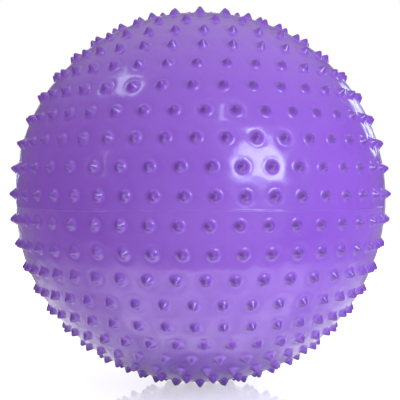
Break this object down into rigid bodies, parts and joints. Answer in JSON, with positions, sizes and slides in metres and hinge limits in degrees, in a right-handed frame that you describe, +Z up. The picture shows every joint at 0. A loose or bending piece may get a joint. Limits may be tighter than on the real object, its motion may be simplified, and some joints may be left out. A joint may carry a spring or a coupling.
{
  "type": "massage ball",
  "caption": "Large inflated ball covered all over with blunt moulded spikes, closed by a push-in air plug in a flush collar.",
  "frame": {"origin": "on the floor, under the middle of the ball", "axes": "+Z up, -Y towards the front of the ball, the air hole at the back, high on the right-hand side"},
  "size_m": [0.65, 0.6486, 0.6454],
  "materials": {
    "skin": "gloss",
    "collar": "satin",
    "plug": "satin"
  },
  "bodies": {
    "ball": {"ball_shell": "skin", "valve_seat": "collar"},
    "plug": {"valve_plug": "plug"}
  },
  "joints": [
    {"name": "plug_slide", "type": "slide", "parent": "ball", "child": "plug", "axis": [0.5255, 0.779, 0.342], "range_m": [0, 0.045]}
  ]
}
